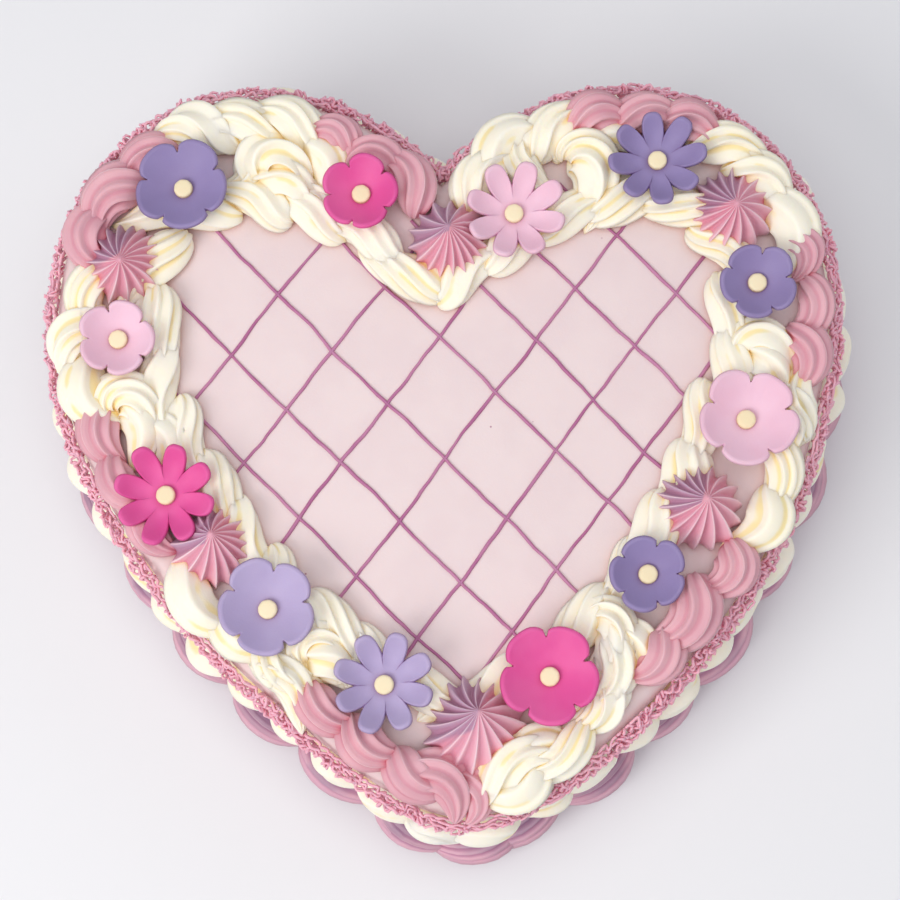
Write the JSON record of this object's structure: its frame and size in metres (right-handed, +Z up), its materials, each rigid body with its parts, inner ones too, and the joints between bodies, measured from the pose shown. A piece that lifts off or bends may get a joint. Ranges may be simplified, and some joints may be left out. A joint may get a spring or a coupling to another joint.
{
  "type": "heart shaped cake",
  "caption": "Heart shaped buttercream cake with a crossed-line top, piped shell borders, star drops, rosettes and sugar paste flowers.",
  "frame": {"origin": "under the middle of the cake, on the flat underside it stands on", "axes": "+Z up, the heart's tip points to -Y and its two lobes to +Y"},
  "size_m": [0.2719, 0.2558, 0.0903],
  "materials": {
    "pale_pink_icing": "smooth matte icing, spread flat",
    "cream_icing": "piped icing, satin",
    "pink_icing": "piped icing, matte",
    "two_tone_icing": "piped icing in pink and purple, matte",
    "plum_line": "thin piped lines, satin",
    "purple_paste": "sugar paste, matte",
    "lilac_paste": "sugar paste, matte",
    "hot_pink_paste": "sugar paste, matte",
    "light_pink_paste": "sugar paste, matte"
  },
  "bodies": {
    "root": {"base_border_left": "two_tone_icing", "base_border_right": "two_tone_icing", "blossom_1_purple": "purple_paste", "blossom_2_hot_pink": "hot_pink_paste", "blossom_3_purple": "purple_paste", "blossom_4_light_pink": "light_pink_paste", "blossom_5_purple": "purple_paste", "blossom_6_hot_pink": "hot_pink_paste", "blossom_7_lilac": "lilac_paste", "blossom_8_light_pink": "light_pink_paste", "cake": "pale_pink_icing", "daisy_1_light_pink": "light_pink_paste", "daisy_2_purple": "purple_paste", "daisy_3_lilac": "lilac_paste", "daisy_4_hot_pink": "hot_pink_paste", "frill_left": "pink_icing", "frill_right": "pink_icing", "inner_border_lower_left": "cream_icing", "inner_border_lower_right": "cream_icing", "inner_border_upper_left": "cream_icing", "inner_border_upper_right": "cream_icing", "rosette_1": "cream_icing", "rosette_2": "cream_icing", "rosette_3": "cream_icing", "rosette_4": "cream_icing", "rosette_5": "cream_icing", "rosette_6": "cream_icing", "side_swags_left": "cream_icing", "side_swags_right": "cream_icing", "star_drop_1": "two_tone_icing", "star_drop_2": "two_tone_icing", "star_drop_3": "two_tone_icing", "star_drop_4": "two_tone_icing", "star_drop_5": "two_tone_icing", "star_drop_6": "two_tone_icing", "top_border_cream_1": "cream_icing", "top_border_cream_2": "cream_icing", "top_border_cream_3": "cream_icing", "top_border_cream_4": "cream_icing", "top_border_cream_5": "cream_icing", "top_border_cream_6": "cream_icing", "top_border_cream_7": "cream_icing", "top_border_pink_1": "pink_icing", "top_border_pink_2": "pink_icing", "top_border_pink_3": "pink_icing", "top_border_pink_4": "pink_icing", "top_border_pink_5": "pink_icing", "top_border_pink_6": "pink_icing", "top_border_pink_7": "pink_icing"}
  },
  "joints": []
}
